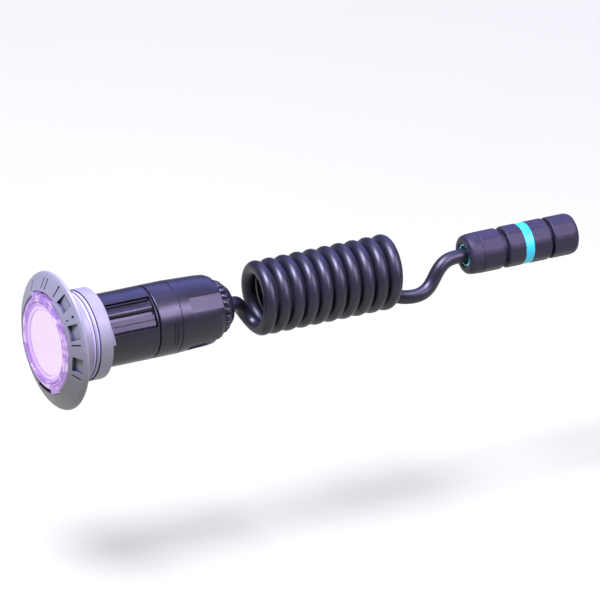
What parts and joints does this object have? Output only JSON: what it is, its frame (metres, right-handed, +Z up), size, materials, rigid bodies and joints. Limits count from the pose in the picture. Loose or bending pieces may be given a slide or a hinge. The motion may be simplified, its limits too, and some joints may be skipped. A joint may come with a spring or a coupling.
{
  "type": "underwater pool light",
  "caption": "Round underwater LED light in a wall fitting with a conical trim, on a black body with a curly supply cable and a waterproof in-line connector.",
  "frame": {"origin": "where the light's axis meets the wall plane, at the middle of the trim flange's back face", "axes": "+Y into the wall, along the cable; the lens looks along -Y; +Z up"},
  "size_m": [0.091, 0.3852, 0.091],
  "materials": {
    "shell": "fine matt moulded",
    "orings": "smooth silicone",
    "violet_lens": "translucent, glossy",
    "clear_lens": "clear polycarbonate, lit from behind",
    "gasket": "smooth",
    "diffuser": "frosted",
    "reflector": "bright",
    "board": "white solder mask",
    "leds": "phosphor dome",
    "heat_sink": "as cast",
    "driver_board": "solder mask",
    "driver_parts": "moulded",
    "body": "semi-gloss moulded",
    "seals": "smooth",
    "cable": "glossy sheath",
    "connector": "satin moulded",
    "clamp": "moulded",
    "cyan_seal": "satin silicone",
    "wires": "insulated",
    "terminals": "nylon",
    "screws": "plated"
  },
  "bodies": {
    "wall_fitting": {"trim_flange": "shell", "wall_fitting": "shell", "collar_oring_front": "orings", "collar_oring_rear": "orings"},
    "light_unit": {"front_lens": "clear_lens", "lens_gasket": "gasket", "diffuser": "diffuser", "reflector": "reflector", "led_board": "board", "leds": "leds", "heat_sink": "heat_sink", "driver_board": "driver_board", "driver_parts": "driver_parts", "front_body": "body", "side_ribs": "body", "housing_oring": "seals", "rear_housing": "body", "lead_front": "cable", "cable_coil": "cable", "lead_rear": "cable", "connector_front_body": "connector", "wire_cores": "wires", "terminal_block": "terminals", "terminal_screws": "screws"},
    "lens_ring": {"lens_ring": "violet_lens"},
    "gland_bush": {"gland_bush": "seals"},
    "gland_nut": {"gland_nut": "body"},
    "front_clamp": {"front_clamp_insert": "clamp", "front_seal": "seals"},
    "connector_front_nut": {"connector_front_nut": "connector"},
    "seal_ring": {"seal_ring": "cyan_seal"},
    "connector_rear_body": {"connector_rear_body": "connector"},
    "rear_clamp": {"rear_clamp_insert": "clamp", "rear_seal": "seals"},
    "connector_rear_nut": {"connector_rear_nut": "connector"}
  },
  "joints": [
    {"name": "light_pull", "type": "slide", "parent": "wall_fitting", "child": "light_unit", "axis": [0, -1, 0], "range_m": [0, 0.06]},
    {"name": "lens_ring_turn", "type": "hinge", "parent": "light_unit", "child": "lens_ring", "pos_m": [0, 0, 0], "axis": [0, 1, 0], "range_deg": [0, 30]},
    {"name": "gland_bush_slide", "type": "slide", "parent": "light_unit", "child": "gland_bush", "axis": [0, 1, 0], "range_m": [0, 0.00226]},
    {"name": "gland_nut_turn", "type": "hinge", "parent": "gland_bush", "child": "gland_nut", "pos_m": [0, 0.119, 0], "axis": [0, 1, 0], "range_deg": [0, 540]},
    {"name": "front_clamp_slide", "type": "slide", "parent": "light_unit", "child": "front_clamp", "axis": [0, 1, 0], "range_m": [-0.00451, 0]},
    {"name": "front_nut_turn", "type": "hinge", "parent": "front_clamp", "child": "connector_front_nut", "pos_m": [0, 0.308, 0], "axis": [0, 1, 0], "range_deg": [-1080, 0]},
    {"name": "seal_ring_slide", "type": "slide", "parent": "light_unit", "child": "seal_ring", "axis": [0, 1, 0], "range_m": [0, 0.00601]},
    {"name": "rear_body_turn", "type": "hinge", "parent": "seal_ring", "child": "connector_rear_body", "pos_m": [0, 0.348, 0], "axis": [0, 1, 0], "range_deg": [0, 1440]},
    {"name": "rear_clamp_slide", "type": "slide", "parent": "connector_rear_body", "child": "rear_clamp", "axis": [0, 1, 0], "range_m": [0, 0.00451]},
    {"name": "rear_nut_turn", "type": "hinge", "parent": "rear_clamp", "child": "connector_rear_nut", "pos_m": [0, 0.366, 0], "axis": [0, 1, 0], "range_deg": [0, 1080]}
  ],
  "couplings": [
    {"joint": "gland_bush_slide", "follows": "gland_nut_turn", "m_per_rad": 0.00023873},
    {"joint": "front_clamp_slide", "follows": "front_nut_turn", "m_per_rad": 0.00023873},
    {"joint": "seal_ring_slide", "follows": "rear_body_turn", "m_per_rad": 0.00023873},
    {"joint": "rear_clamp_slide", "follows": "rear_nut_turn", "m_per_rad": 0.00023873}
  ]
}
